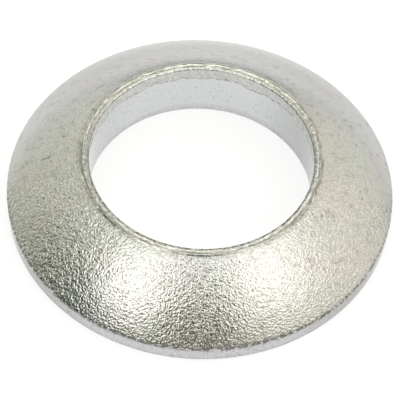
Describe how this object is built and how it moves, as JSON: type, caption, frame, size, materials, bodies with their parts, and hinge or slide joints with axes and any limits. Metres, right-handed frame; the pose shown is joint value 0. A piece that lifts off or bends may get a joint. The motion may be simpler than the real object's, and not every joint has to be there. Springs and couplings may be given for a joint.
{
  "type": "spherical washer",
  "caption": "Round zinc-plated steel washer with a flat underside, a short straight rim, a domed spherical seat and a bolt clearance bore, for joints whose faces aren't quite parallel.",
  "frame": {"origin": "centre of the bore on the flat underside", "axes": "+Z along the bore's axis, from the flat underside to the domed seat; X and Y are any two directions across it"},
  "size_m": [0.036, 0.036, 0.0063],
  "materials": {
    "zinc_plated_steel": "bright zinc plating over a blasted, pebbled dome, with a smooth rim and bore"
  },
  "bodies": {
    "root": {"washer": "zinc_plated_steel"}
  },
  "joints": []
}
